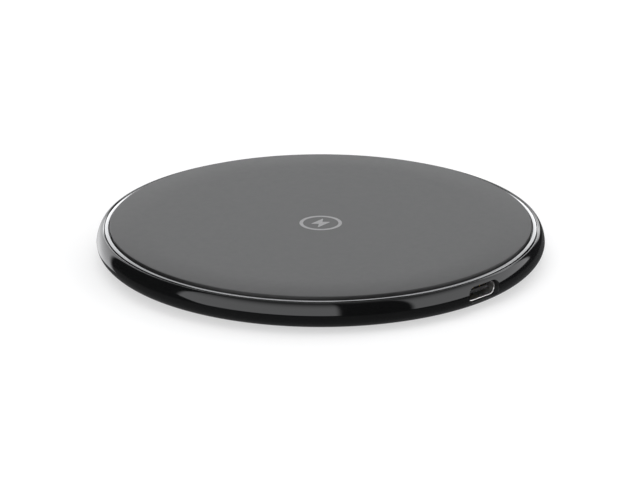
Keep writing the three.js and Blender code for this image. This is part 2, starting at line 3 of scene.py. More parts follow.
import bmesh
import bpy
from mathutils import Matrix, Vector


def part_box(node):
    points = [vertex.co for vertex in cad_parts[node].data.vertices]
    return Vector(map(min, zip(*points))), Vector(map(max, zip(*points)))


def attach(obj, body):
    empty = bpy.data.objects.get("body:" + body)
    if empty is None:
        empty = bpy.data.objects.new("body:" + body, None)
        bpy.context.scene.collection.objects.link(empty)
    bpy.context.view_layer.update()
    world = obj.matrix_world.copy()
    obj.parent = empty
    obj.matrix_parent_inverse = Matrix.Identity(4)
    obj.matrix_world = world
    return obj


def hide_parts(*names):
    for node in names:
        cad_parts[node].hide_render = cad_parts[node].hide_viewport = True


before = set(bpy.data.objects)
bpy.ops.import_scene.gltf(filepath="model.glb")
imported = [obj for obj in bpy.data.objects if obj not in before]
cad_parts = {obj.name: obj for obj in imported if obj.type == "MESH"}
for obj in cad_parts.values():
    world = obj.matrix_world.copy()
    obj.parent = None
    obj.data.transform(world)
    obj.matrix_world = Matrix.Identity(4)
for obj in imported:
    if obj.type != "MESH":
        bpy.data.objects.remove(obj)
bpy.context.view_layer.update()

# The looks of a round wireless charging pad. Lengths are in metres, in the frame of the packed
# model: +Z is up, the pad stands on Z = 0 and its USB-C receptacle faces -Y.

MM = 0.001
QUARTER = pi / 2
TURN = 2 * pi
COLUMNS = 360  # round the large turned pieces
SMALL_COLUMNS = 48  # round holes and bosses
TOUCH = 1e-6  # corners closer than this are one

# ---- sizes taken from the frame


def corners_of(node):
    """(radius, z) of a CAD node's corners."""
    return [(hypot(v.co.x, v.co.y), v.co.z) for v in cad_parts[node].data.vertices]


def radii(node):
    """Least and greatest distance of a CAD node's corners from the Z axis."""
    spans = [radius for radius, _ in corners_of(node)]
    return min(spans), max(spans)


def levels(node):
    """Lowest and highest Z of a CAD node."""
    low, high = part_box(node)
    return low.z, high.z


def widest_at(node, z):
    return max(radius for radius, level in corners_of(node) if abs(level - z) < TOUCH)


def level_of_widest(node):
    return max(corners_of(node))[1]


def centre_of(node):
    """(x, y) of the middle of a CAD node."""
    low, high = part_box(node)
    return (low.x + high.x) / 2, (low.y + high.y) / 2


def nodes_named(word):
    return sorted(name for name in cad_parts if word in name)


PORT_WIDTH = 8.94 * MM  # the steel shell of every USB-C receptacle
PORT_HEIGHT = 3.26 * MM
PORT_WALL = 0.25 * MM
CUT_CLEARANCE = 0.38 * MM  # shell's cut-out round the receptacle, each way
CUT_HEIGHT_CLEARANCE = 0.22 * MM
CREST_WIDTH = 0.25 * MM
CREST_CHAMFER = 0.15 * MM
FIT_GAP = 0.18 * MM  # between the shell's mouth and what fits in it
LEDGE_WIDTH = 0.7 * MM
SIDE_WALL = 2.4 * MM
BILGE = [(1.0 * MM, 0.75 * MM), (3.0 * MM, 0.0)]  # knuckles: inside the wall, above the floor
BILGE_TOP = 1.95 * MM
FOOT_GAP = 0.2 * MM
SEAT_RADIUS = 2.9 * MM
SEAT_HEIGHT = 0.3 * MM
SCREW_HOLE = 1.25 * MM
COUNTERSINK = 2.05 * MM

pad_radius = radii("base_shell")[1]
shell_bottom, shell_crest = levels("base_shell")
crest_radius = widest_at("base_shell", shell_crest)
base_radius = widest_at("base_shell", shell_bottom)
waist = level_of_widest("base_shell")
foot_inner, foot_outer = radii("foot_ring")
foot_top = levels("foot_ring")[1]
groove_top = levels("foot_adhesive")[1]
frame_bottom = levels("coil_film")[1]
frame_top = levels("top_frame")[1]
trim_inner, trim_outer = radii("trim_ring")
trim_top = levels("trim_ring")[1]
cover_radius = radii("top_cover")[1]
cover_bottom, cover_top = levels("top_cover")
board_bottom, board_top = levels("main_board")
floor_top = board_bottom - SEAT_HEIGHT
port_mouth, port_rear = (corner.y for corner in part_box("usb_shell"))
port_z = levels("usb_shell")[1] - PORT_HEIGHT / 2
screws = {name: centre_of(name) for name in nodes_named("case_screw")}
board_screws = [spot for spot in screws.values() if spot[1] < 0]  # those that clamp the board

# ---- mesh helpers


def shade(piece, sharp_angle=30):
    piece.data.shade_smooth()
    piece.data.set_sharp_from_angle(angle=radians(sharp_angle))


def new_piece(name, vertices, faces, sharp_angle=30):
    """A smooth-shaded mesh object, with sharp edges where its faces turn by more than an angle."""
    mesh = bpy.data.meshes.new(name)
    mesh.from_pydata(vertices, [], faces)
    bm = bmesh.new()
    bm.from_mesh(mesh)
    bmesh.ops.recalc_face_normals(bm, faces=bm.faces)
    bm.to_mesh(mesh)
    bm.free()
    piece = bpy.data.objects.new(name, mesh)
    bpy.context.scene.collection.objects.link(piece)
    shade(piece, sharp_angle)
    return piece


def apply_modifiers(piece):
    """Puts the result of the piece's modifiers in its mesh."""
    depsgraph = bpy.context.evaluated_depsgraph_get()
    mesh = bpy.data.meshes.new_from_object(piece.evaluated_get(depsgraph))
    mesh.name = piece.name
    piece.modifiers.clear()
    piece.data = mesh


def combine(piece, operation, *tools):
    """Joins the tools to the piece, or cuts them from it, and removes them."""
    for tool in tools:
        modifier = piece.modifiers.new(operation, "BOOLEAN")
        modifier.operation = operation
        modifier.solver = "EXACT"
        modifier.object = tool
    apply_modifiers(piece)
    for tool in tools:
        bpy.data.objects.remove(tool)
    piece.data.materials.clear()
    shade(piece)
    return piece


def merged(name, *meshes):
    """One object from several (vertices, faces) pairs that don't touch."""
    vertices, faces = [], []
    for part_vertices, part_faces in meshes:
        start = len(vertices)
        vertices += part_vertices
        faces += [tuple(start + i for i in face) for face in part_faces]
    return new_piece(name, vertices, faces)


def place(piece, materials):
    """Gives a piece its materials. A piece named after a CAD node, with _look, replaces it."""
    piece.data.materials.clear()
    for material in materials if isinstance(materials, list) else [materials]:
        piece.data.materials.append(material)
    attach(piece, "root")
    node = piece.name.removesuffix("_look")
    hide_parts(*([node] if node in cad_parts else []))
    return piece


def rounded(outline, steps=5):
    """Points of an outline whose corners, (a, b, radius), are rounded to their radius."""
    points = []
    for i, (a, b, radius) in enumerate(outline):
        corner = Vector((a, b))
        if radius == 0:
            points.append(tuple(corner))
            continue
        before = (Vector(outline[i - 1][:2]) - corner).normalized()
        after = (Vector(outline[(i + 1) % len(outline)][:2]) - corner).normalized()
        half = before.angle(after) / 2
        middle = (before + after).normalized() * radius / sin(half)
        reach = radius / tan(half)
        for k in range(steps + 1):
            spoke = (before * reach - middle).slerp(after * reach - middle, k / steps)
            points.append(tuple(corner + middle + spoke.normalized() * radius))
    return points


def lathe(profile, columns=COLUMNS, centre=(0, 0)):
    """Vertices and faces of a profile of (radius, z) points turned round an upright axis. A profile
    that starts on the axis ends there too, and any other is closed from its end to its start."""
    vertices, rows = [], []
    for radius, z in profile:
        count = columns if radius > TOUCH else 1
        row = range(len(vertices), len(vertices) + count)
        rows.append([row[k % count] for k in range(columns)])
        for k in range(count):
            angle = TURN * k / columns - QUARTER
            x, y = radius * cos(angle), radius * sin(angle)
            vertices.append((centre[0] + x, centre[1] + y, z))
    if profile[0][0] > TOUCH:
        rows.append(rows[0])
    faces = []
    for lower, upper in zip(rows, rows[1:]):
        for k in range(columns):
            n = (k + 1) % columns
            face = tuple(dict.fromkeys((lower[k], lower[n], upper[n], upper[k])))
            if len(face) > 2:
                faces.append(face)
    return vertices, faces


def turned(name, profile, columns=COLUMNS):
    return new_piece(name, *lathe(profile, columns))


def band(inner, outer, low, high):
    """Profile of a plain ring, or of a disc if its inner radius is 0."""
    return [(inner, low), (outer, low), (outer, high), (inner, high)]


def turned_ring(node, edge):
    """A fine ring or disc of a CAD node's size, with edges rounded to a radius."""
    outline = [(radius, z, edge if radius > TOUCH else 0)
               for radius, z in band(*radii(node), *levels(node))]
    return turned(node + "_look", rounded(outline, 3))


def loft(loops, closed=False):
    """Vertices and faces through loops of as many points each, capped unless closed."""
    count = len(loops[0])
    vertices = [point for loop in loops for point in loop]
    faces = []
    for j in range(len(loops) if closed else len(loops) - 1):
        here, there = j * count, (j + 1) % len(loops) * count
        for k in range(count):
            n = (k + 1) % count
            faces.append((here + k, here + n, there + n, there + k))
    if not closed:
        faces.append(tuple(range(count)))
        faces.append(tuple(range((len(loops) - 1) * count, len(loops) * count)))
    return vertices, faces


def stadium(width, height, grow=0.0):
    """(x, z) points round a slot outline centred on the receptacle."""
    steps = 20  # along each straight side and round each end
    radius = height / 2 + grow
    half = (width - height) / 2
    points = []
    for side, start in ((1, -QUARTER), (-1, QUARTER)):
        for k in range(steps):
            points.append((side * half * (2 * k / steps - 1), port_z - side * radius))
        for k in range(steps):
            angle = start + pi * k / steps
            points.append((side * half + radius * cos(angle),
                           port_z + radius * sin(angle)))
    return points


def at_y(points, y):
    return [(x, y, z) for x, z in points]


def rectangle(a, b, radius, steps=3):
    """Points of a rectangle with rounded corners, from its half sides."""
    return rounded([(-a, -b, radius), (a, -b, radius), (a, b, radius), (-a, b, radius)], steps)


def plate_loops(width, depth, low, high, radius, edge=0.0, steps=3):
    """Loops of an upright block, centred on the Z axis, with rounded corners and, over an edge
    radius, rounded upper and lower edges."""
    sections = [(0, low), (0, high)]
    if edge:
        arc = [QUARTER * k / steps for k in range(steps + 1)]
        sections = [(edge * (1 - sin(a)), low + edge * (1 - cos(a))) for a in arc]
        sections += [(edge * (1 - cos(a)), high - edge * (1 - sin(a))) for a in arc]
    loops = []
    for inset, z in sections:
        corner = max(radius - inset, 0.1 * radius)
        outline = rectangle(width / 2 - inset, depth / 2 - inset, corner, steps)
        loops.append([(x, y, z) for x, y in outline])
    return loops


def moved(mesh, x, y, turn=0.0):
    """Vertices and faces turned round the Z axis and then moved."""
    vertices, faces = mesh
    cosine, sine = cos(turn), sin(turn)
    return [(a * cosine - b * sine + x, a * sine + b * cosine + y, z) for a, b, z in vertices], faces


def bevelled(node, width):
    """A copy of a CAD node with its sharp edges rounded."""
    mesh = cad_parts[node].data.copy()
    bm = bmesh.new()
    bm.from_mesh(mesh)
    bmesh.ops.remove_doubles(bm, verts=bm.verts, dist=TOUCH)
    bmesh.ops.dissolve_limit(bm, angle_limit=radians(0.5), verts=bm.verts, edges=bm.edges)
    bm.to_mesh(mesh)
    bm.free()
    piece = bpy.data.objects.new(node + "_look", mesh)
    bpy.context.scene.collection.objects.link(piece)
    modifier = piece.modifiers.new("edges", "BEVEL")
    modifier.width = width
    modifier.segments = 2
    modifier.limit_method = "ANGLE"
    modifier.angle_limit = radians(35)
    apply_modifiers(piece)
    shade(piece, 40)
    return piece


# ---- materials


class Nodes:
    """Short calls that add nodes to a tree."""

    def __init__(self, tree):
        self.tree = tree
        tree.nodes.clear()

    def add(self, kind, inputs=None, **settings):
        node = self.tree.nodes.new("ShaderNode" + kind)
        for key, value in settings.items():
            setattr(node, key, value)
        for key, value in (inputs or {}).items():
            if isinstance(value, bpy.types.NodeSocket):
                self.tree.links.new(value, node.inputs[key])
            else:
                node.inputs[key].default_value = value
        return node

    def math(self, operation, a, b=0.0):
        return self.add("Math", {0: a, 1: b}, operation=operation).outputs[0]

    def ramp(self, value, low, high, to_low=0.0, to_high=1.0, smooth=True):
        """The value's way from low to high, as a way from to_low to to_high."""
        inputs = {"Value": value, "From Min": low, "From Max": high,
                  "To Min": to_low, "To Max": to_high}
        kind = "SMOOTHSTEP" if smooth else "LINEAR"
        return self.add("MapRange", inputs, interpolation_type=kind).outputs[0]

    def position(self):
        return self.add("TexCoord").outputs["Object"]

    def noise(self, size, detail, roughness=0.5):
        """Noise, 0 to 1, of a size in millimetres."""
        scale = 1 / (size * MM)
        mapping = self.add("Mapping", {"Vector": self.position(), "Scale": (scale, scale, scale)})
        inputs = {"Vector": mapping.outputs[0], "Scale": 1.0, "Detail": detail,
                  "Roughness": roughness}
        return self.add("TexNoise", inputs).outputs[0]

    def mix(self, factor, *colours):
        node = self.add("Mix", {"Factor": factor}, data_type="RGBA")
        for socket, colour in zip([s for s in node.inputs if s.type == "RGBA"], colours):
            socket.default_value = (*colour, 1)
        return next(s for s in node.outputs if s.type == "RGBA")


def surface(name, colours, mottle, roughness, smudge, relief, pattern=None, ior=1.5,
            metallic=0.0):
    """A material. Its colour wanders between two colours and its roughness between two values,
    over patches of a size, and its grain has a size and a depth, all in millimetres. A pattern may
    add heights, in metres, and change the colour and the roughness."""
    material = bpy.data.materials.new(name)
    material.use_nodes = True
    nodes = Nodes(material.node_tree)
    patches = nodes.ramp(nodes.noise(mottle, 3), 0.3, 0.7)
    colour = nodes.mix(patches, *colours)
    smears = nodes.ramp(nodes.noise(smudge, 4, roughness=0.6), 0.3, 0.7)
    rough = nodes.ramp(smears, 0, 1, *roughness, smooth=False)
    grain_size, grain_depth = relief
    height = nodes.math("MULTIPLY", nodes.noise(grain_size, 2), grain_depth * MM)
    if pattern:
        colour, rough, height = pattern(nodes, colour, rough, height)
    bump = nodes.add("Bump", {"Height": height, "Distance": 1.0, "Strength": 1.0})
    shader = nodes.add("BsdfPrincipled", {"Base Color": colour, "Roughness": rough, "IOR": ior,
                                          "Metallic": metallic, "Normal": bump.outputs[0]})
    nodes.add("OutputMaterial", {"Surface": shader.outputs[0]})
    return material


def grey(value, warmth=0.0):
    """A grey, warmer or, with a negative warmth, cooler."""
    return value * (1 + warmth), value, value * (1 - warmth)


def lay_of_turning(pitch, depth):
    """Fine grooves round the Z axis, as a lathe leaves them."""
    def pattern(nodes, colour, rough, height):
        x, y, _ = nodes.add("SeparateXYZ", {0: nodes.position()}).outputs
        squares = nodes.math("ADD", nodes.math("MULTIPLY", x, x), nodes.math("MULTIPLY", y, y))
        radius = nodes.math("SQRT", squares)
        inputs = {"W": nodes.math("DIVIDE", radius, pitch), "Scale": 1.0, "Detail": 1.0}
        grooves = nodes.add("TexNoise", inputs, noise_dimensions="1D").outputs[0]
        return colour, rough, nodes.math("ADD", height, nodes.math("MULTIPLY", grooves, depth))
    return pattern


gloss = surface("gloss_black", (grey(0.003, -0.04), grey(0.0042, -0.04)), 20, (0.035, 0.075), 9,
                (6, 0.0012))
moulded = surface("moulded_black", (grey(0.018), grey(0.026)), 6, (0.42, 0.52), 3, (0.22, 0.012))
satin = surface("satin_grey", (grey(0.035), grey(0.038)), 2.5, (0.29, 0.315), 1.2, (0.16, 0.003),
                ior=1.19)
ink = surface("pale_ink", (grey(0.205), grey(0.235)), 0.8, (0.45, 0.55), 0.5, (0.12, 0.002))
bright = surface("bright_metal", (grey(0.325, -0.01), grey(0.36, -0.005)), 5, (0.10, 0.16), 4,
                 (0.5, 0.0004), lay_of_turning(0.05 * MM, 0.0006 * MM), metallic=1.0)
silicone = surface("silicone", (grey(0.022), grey(0.032)), 4, (0.55, 0.68), 2, (0.15, 0.006),
                   ior=1.43)
frame_plastic = surface("frame_plastic", (grey(0.012), grey(0.018)), 5, (0.38, 0.5), 3,
                        (0.2, 0.008))
tape = surface("tissue_tape", (grey(0.5, 0.04), grey(0.62, 0.05)), 0.7, (0.6, 0.75), 0.9,
               (0.1, 0.01), ior=1.45)
tin = surface("tin_plate", (grey(0.80, 0.01), grey(0.9, 0.01)), 1.2, (0.26, 0.42), 0.7,
              (0.12, 0.003), metallic=1.0)
steel = surface("nickel_steel", (grey(0.52, 0.03), grey(0.62, 0.02)), 0.8, (0.22, 0.34), 0.5,
                (0.1, 0.002), metallic=1.0)
gold = surface("gold_flash", ((0.75, 0.5, 0.16), (0.86, 0.6, 0.22)), 0.6, (0.2, 0.3), 0.3,
               (0.06, 0.0008), metallic=1.0)
tongue_plastic = surface("tongue_plastic", (grey(0.012), grey(0.02)), 1, (0.4, 0.5), 0.6,
                         (0.08, 0.003))
solder_mask = surface("solder_mask", ((0.006, 0.09, 0.035), (0.012, 0.14, 0.05)), 3, (0.2, 0.3), 2,
                      (0.3, 0.006))
copper = surface("enamelled_copper", ((0.42, 0.12, 0.035), (0.62, 0.24, 0.07)), 0.8, (0.24, 0.36),
                 0.6, (0.1, 0.006), metallic=0.9)
film = surface("amber_film", ((0.42, 0.16, 0.012), (0.52, 0.22, 0.02)), 3, (0.16, 0.26), 2,
               (1.5, 0.02), ior=1.6)
ferrite = surface("sintered_ferrite", (grey(0.03), grey(0.055)), 0.7, (0.5, 0.7), 0.5,
                  (0.09, 0.01), ior=1.6)
foam = surface("closed_foam", (grey(0.012), grey(0.028)), 0.4, (0.8, 0.95), 0.5, (0.25, 0.1),
               ior=1.4)
epoxy = surface("chip_epoxy", (grey(0.012), grey(0.02)), 0.5, (0.45, 0.6), 0.4, (0.05, 0.004))
ceramic = surface("capacitor_ceramic", ((0.3, 0.2, 0.12), (0.4, 0.28, 0.17)), 0.5, (0.35, 0.5),
                  0.4, (0.06, 0.004), ior=1.6)

# ---- the outside

FLANK_STEPS = 26  # rows of faces up each half of the rounded side
UPPER_POWER = 1.28  # 1 is an ellipse, more is straighter
LOWER_POWER = 1.07


def flank(z):
    """Radius of the shell's rounded side at a level, and the outward and upward parts of the
    side's normal there."""
    upper = z >= waist
    end_radius, end_z, power = ((crest_radius, shell_crest, UPPER_POWER) if upper
                                else (base_radius, shell_bottom, LOWER_POWER))
    share = min(1.0, max(0.0, (z - waist) / (end_z - waist)))
    cosine = share ** (1 / power)
    sine = sqrt(max(0.0, 1 - cosine * cosine))
    width, drop = pad_radius - end_radius, abs(end_z - waist)
    normal = Vector((drop * sine ** (2 - power), width * cosine ** (2 - power))).normalized()
    return end_radius + width * sine ** power, normal.x, normal.y if upper else -normal.y


def flank_rows(end_z, power):
    """(radius, z) from the waist to one end of the rounded side."""
    rows = []
    for k in range(FLANK_STEPS + 1):
        angle = QUARTER * (1 - k / FLANK_STEPS)
        z = waist + (end_z - waist) * max(0.0, cos(angle)) ** power
        rows.append((flank(z)[0], z))
    return rows


def port_cutter():
    """What is cut from the shell's wall for the receptacle, with a rounded outer edge."""
    width = PORT_WIDTH + 2 * CUT_CLEARANCE
    height = PORT_HEIGHT + 2 * CUT_HEIGHT_CLEARANCE
    fillet = 0.16 * MM
    flare = fillet + 0.135 * MM  # of the cutter outside the wall, each way
    steps = [(flare, -2 * MM), (flare, -0.03 * MM)]
    for degrees in (25, 45, 65, 90):
        angle = radians(degrees)
        steps.append((fillet * (1 - sin(angle)), fillet * (1 - cos(angle))))
    loops = []
    for grow, depth in steps:
        outline = stadium(width, height, grow)
        loops.append([(x, depth - sqrt(flank(z)[0] ** 2 - x * x), z) for x, z in outline])
    loops.append(at_y(stadium(width, height), port_rear))
    return loft(loops)


def screw_cutter(spot):
    head = COUNTERSINK - SCREW_HOLE
    profile = [(0, groove_top - MM), (COUNTERSINK, groove_top - MM), (COUNTERSINK, groove_top),
               (SCREW_HOLE, groove_top + head), (SCREW_HOLE, board_bottom + MM),
               (0, board_bottom + MM)]
    return lathe(profile, SMALL_COLUMNS, spot)


def base_shell():
    mouth = trim_outer + FIT_GAP
    wall = pad_radius - SIDE_WALL
    low, high = flank_rows(shell_bottom, LOWER_POWER), flank_rows(shell_crest, UPPER_POWER)
    groove = [(foot_inner - FOOT_GAP, shell_bottom), (foot_inner - FOOT_GAP, groove_top),
              (foot_outer + FOOT_GAP, groove_top), (foot_outer + FOOT_GAP, shell_bottom)]
    inside = [(crest_radius - CREST_WIDTH * share, shell_crest - CREST_CHAMFER * share ** 2 / 2)
              for share in (0.25, 0.5, 0.75, 1)]
    inside += [(mouth, shell_crest - CREST_CHAMFER),
              (mouth, frame_bottom), (mouth - LEDGE_WIDTH, frame_bottom),
              (wall, floor_top + BILGE_TOP)]
    inside += [(wall - inset, floor_top + height) for inset, height in BILGE]
    profile = [(0, shell_bottom), *groove, *low[::-1], *high[1:], *inside, (0, floor_top)]
    shell = turned("base_shell_look", profile)
    seat = band(0, SEAT_RADIUS, floor_top - SEAT_HEIGHT, board_bottom)
    seats = merged("seats", *[lathe(seat, SMALL_COLUMNS, spot) for spot in screws.values()])
    combine(shell, "UNION", seats)
    cutters = merged("cutters", port_cutter(), *map(screw_cutter, screws.values()))
    combine(shell, "DIFFERENCE", cutters)
    polish(shell)


def polish(shell):
    """Puts the gloss on the rounded side and the crest, and gives the side its exact normals, so
    that a reflection runs smoothly past the cut-out."""
    place(shell, [gloss, moulded])
    mesh = shell.data
    normals = [corner.vector.copy() for corner in mesh.corner_normals]
    near = 0.012 * MM  # a face is on the side if its corners are this near to it
    edge = 0.4 * MM  # how far the gloss runs into the cut-out
    for polygon in mesh.polygons:
        centre = polygon.center
        radius = hypot(centre.x, centre.y)
        outside = radius > flank(centre.z)[0] - edge and centre.z > shell_bottom + near
        on_crest = radius > trim_outer + FIT_GAP / 2 and centre.z > trim_top - MM
        polygon.material_index = 0 if outside or on_crest else 1
        corners = [mesh.vertices[i].co for i in polygon.vertices]
        off_side = any(abs(hypot(c.x, c.y) - flank(c.z)[0]) > near for c in corners)
        if off_side or all(abs(c.z - shell_crest) < near for c in corners):
            continue
        for loop in polygon.loop_indices:
            corner = mesh.vertices[mesh.loops[loop].vertex_index].co
            around = hypot(corner.x, corner.y)
            _, outward, upward = flank(corner.z)
            normals[loop] = Vector((corner.x / around * outward,
                                    corner.y / around * outward, upward))
    mesh.normals_split_custom_set(normals)


CROWN_INSET = 9 * MM  # the cover's level part ends this far inside its edge
CROWN_FALL = 0.22 * MM
CROWN_POWER = 2.0
COVER_EDGE = 0.2 * MM  # radius of the cover's edge
SIDE_LEAN = 0.6  # the cover's grey top ends where its edge turns down past this; below that, its side is black plastic, darkened also as painted shade for the gap under the ring


def top_cover():
    """The cover: level, then falling gently, then rounded over at its edge."""
    crown_start, edge_start = cover_radius - CROWN_INSET, cover_radius - COVER_EDGE
    edge_z = cover_top - CROWN_FALL - COVER_EDGE
    lean = atan(CROWN_FALL * CROWN_POWER / (edge_start - crown_start))
    chamfer, arc_steps, fall_steps = 0.05 * MM, 8, 20
    profile = [(0, cover_bottom), (cover_radius - chamfer, cover_bottom),
               (cover_radius, cover_bottom + chamfer)]
    for k in range(arc_steps + 1):
        angle = (QUARTER - lean) * k / arc_steps
        profile.append((edge_start + COVER_EDGE * cos(angle),
                        edge_z + COVER_EDGE * sin(angle)))
    for k in range(1, fall_steps + 1):
        share = 1 - k / fall_steps
        profile.append((crown_start + (edge_start - crown_start) * share,
                        cover_top - CROWN_FALL * share ** CROWN_POWER))
    rings = [crown_start * share for share in (0.75, 0.5, 0.25)]
    profile += [(radius, cover_top) for radius in rings] + [(0, cover_top)]
    cover = place(turned("top_cover_look", profile), [satin, frame_plastic])
    # Faces turned down past SIDE_LEAN take the dark frame plastic: black sides under the grey top,
    # and painted shade in the gap between the cover and the ring.
    for polygon in cover.data.polygons:
        polygon.material_index = int(polygon.normal.z < SIDE_LEAN)


def trim_ring():
    """The ring: bevelled face, with a small round along each edge."""
    slope = 0.12 * MM
    under_edge, outer_edge, inner_edge = 0.05 * MM, 0.07 * MM, 0.06 * MM
    outline = [(trim_inner, frame_top, under_edge), (trim_outer, frame_top, under_edge),
               (trim_outer, trim_top - slope, outer_edge), (trim_inner, trim_top, inner_edge)]
    ring = turned("trim_ring_look", rounded(outline, 4))
    place(ring, bright)


def foot_ring():
    """The silicone foot: rounded, with shallow grooves in the face that stands on the table."""
    groove_depth, groove_width = 0.12 * MM, 0.5 * MM
    floor_share = 0.7  # width of a groove's floor, over its width
    count = 5
    pitch = (foot_outer - foot_inner) / (count + 1)
    round_edge, small = 0.18 * MM, 0.05 * MM
    outline = [(foot_inner, 0, round_edge)]
    for k in range(1, count + 1):
        middle = foot_inner + pitch * k
        for side, z in ((-1, 0), (-floor_share, groove_depth), (floor_share, groove_depth), (1, 0)):
            outline.append((middle + side * groove_width / 2, z, small))
    outline += [(foot_outer, 0, round_edge), (foot_outer, foot_top, small),
                (foot_inner, foot_top, small)]
    foot = turned("foot_ring_look", rounded(outline, 3))
    place(foot, silicone)


base_shell()
top_cover()
trim_ring()
foot_ring()

# ---- the printed mark

MARK_RADIUS = 4.75 * MM
MARK_LINE = 0.8 * MM
MARK_THICKNESS = 0.012 * MM
MARK_TURN = radians(-46.4)  # the mark reads from where it is photographed
BOLT = [(0.6, 3.0), (-2.2, -0.55), (-0.4, -0.55), (-0.7, -3.0), (2.2, 0.7), (0.35, 0.7)]  # in mm
BOLT_CORNER = 0.12 * MM


def printed_mark():
    """A thin ring with a small bolt in it."""
    low, high = cover_top - MARK_THICKNESS, cover_top + MARK_THICKNESS
    ring = lathe(band(MARK_RADIUS - MARK_LINE, MARK_RADIUS, low, high), 128)
    outline = rounded([(x * MM, y * MM, BOLT_CORNER) for x, y in BOLT], 3)
    bolt = loft([[(x, y, z) for x, y in outline] for z in (low, high)])
    place(merged("printed_mark", ring, moved(bolt, 0, 0, MARK_TURN)), ink)


printed_mark()

# ---- the receptacle

LIP_DEPTH = 0.2 * MM
TAB_THICKNESS = 0.3 * MM
TAB_PROUD = 0.1 * MM
TAB_LENGTH = 1.0 * MM
TAB_CORNER = 0.06 * MM
TAB_STARTS = (4.4 * MM, 7.6 * MM)  # front edge of each pair behind the mouth
TAB_BELOW_BOARD = 0.15 * MM
TAB_CLEARANCE = 0.2 * MM  # round a tab in its slot through the board
tab_middle = PORT_WIDTH / 2 + TAB_PROUD - TAB_THICKNESS / 2
tab_places = [(side * tab_middle, port_mouth + start + TAB_LENGTH / 2)
              for side in (-1, 1) for start in TAB_STARTS]


def usb_shell():
    """The drawn steel shell with a rounded lip, and the solder tabs at its sides."""
    lip = PORT_WALL / 2
    arc_steps = 8
    steps = [(0, port_rear)]
    for k in range(arc_steps + 1):
        angle = pi * k / arc_steps
        steps.append((lip * (cos(angle) - 1),
                      port_mouth + LIP_DEPTH * (1 - sin(angle))))
    steps.append((-PORT_WALL, port_rear))
    loops = [at_y(stadium(PORT_WIDTH, PORT_HEIGHT, grow), y) for grow, y in steps]
    shell = new_piece("usb_shell_look", *loft(loops, closed=True))
    tab = loft(plate_loops(TAB_THICKNESS, TAB_LENGTH, board_bottom - TAB_BELOW_BOARD, port_z,
                           TAB_CORNER))
    tabs = merged("tabs", *[moved(tab, x, y) for x, y in tab_places])
    return combine(shell, "UNION", tabs)


place(usb_shell(), tin)
place(bevelled("usb_insulator", 0.05 * MM), tongue_plastic)
for name in nodes_named("usb_contact"):
    place(bevelled(name, 0.03 * MM), gold)

# ---- frame, tapes and screws

RIB_GAP = 0.5 * MM
RIB_THICKNESS = 0.8 * MM
BOSS_RADIUS = 2.3 * MM
BOSS_GAP = 0.05 * MM
BOSS_EDGE = 0.12 * MM
BORE_CHAMFER = 0.15 * MM
SCREW_RADIUS = 1.0 * MM
SCREW_HEAD_RADIUS = 1.8 * MM
SCREW_HEIGHT = 4.3 * MM
SCREW_FIT = 0.08 * MM
RECESS_DEPTH = 0.5 * MM
RECESS_SPAN = 2.0 * MM
RECESS_WIDTH = 0.42 * MM
THREAD_PITCH = 0.55 * MM
THREAD_DEPTH = 0.14 * MM
THREAD_ROW = 0.06 * MM  # height of a row of faces
RIDGE_SHARE = 0.6  # width of a thread's ridge, over the pitch
SCREW_COLUMNS = 36
LEAD_ANGLE = radians(4)  # to each lead, from -Y
LEAD_DIAMETER = 0.6 * MM

ferrite_radius = radii("ferrite_shield")[1]
ferrite_bottom, ferrite_top = levels("ferrite_shield")
rib_inner = ferrite_radius + RIB_GAP
rib_outer = rib_inner + RIB_THICKNESS
rib_bottom = (ferrite_bottom + ferrite_top) / 2


def top_frame():
    """The deck, with its rib, its edge and its four screw bosses."""
    outer = radii("top_frame")[1]
    small, edge = 0.05 * MM, 0.1 * MM
    outline = [(rib_inner, frame_bottom, small), (rib_inner, rib_bottom, edge),
               (rib_outer, rib_bottom, edge), (rib_outer, frame_bottom, edge),
               (outer, frame_bottom, edge), (outer, frame_top, small)]
    outline.append((0, frame_top, 0))
    deck = turned("top_frame_look", [(0, frame_bottom), *rounded(outline, 3)])
    bore, bore_top = SCREW_RADIUS + SCREW_FIT, groove_top + SCREW_HEIGHT + SCREW_FIT
    middle = (frame_bottom + frame_top) / 2
    bosses, bores = [], []
    for spot in screws.values():
        foot = (board_top if spot in board_screws else board_bottom) + BOSS_GAP
        boss = [(0, foot, 0), (BOSS_RADIUS, foot, BOSS_EDGE), (BOSS_RADIUS, middle, 0),
                (0, middle, 0)]
        bosses.append(lathe(rounded(boss, 3), SMALL_COLUMNS, spot))
        hole = [(0, foot - MM), (bore + BORE_CHAMFER, foot - MM), (bore + BORE_CHAMFER, foot),
                (bore, foot + BORE_CHAMFER), (bore, bore_top), (0, bore_top)]
        bores.append(lathe(hole, SMALL_COLUMNS, spot))
    combine(deck, "UNION", merged("bosses", *bosses))
    reach = rib_outer * sin(LEAD_ANGLE) + 2 * LEAD_DIAMETER
    depth = rib_outer - ferrite_radius + 2 * MM
    opening = loft(plate_loops(2 * reach, depth, rib_bottom - MM, frame_bottom, 0.2 * MM))
    bores.append(moved(opening, 0, MM - ferrite_radius - depth / 2))
    return combine(deck, "DIFFERENCE", merged("bores", *bores))


def round_loop(spokes, z):
    """A loop round the Z axis, with a radius for each of its points."""
    turns = [TURN * k / len(spokes) for k in range(len(spokes))]
    return [(r * cos(turn), r * sin(turn), z) for r, turn in zip(spokes, turns)]


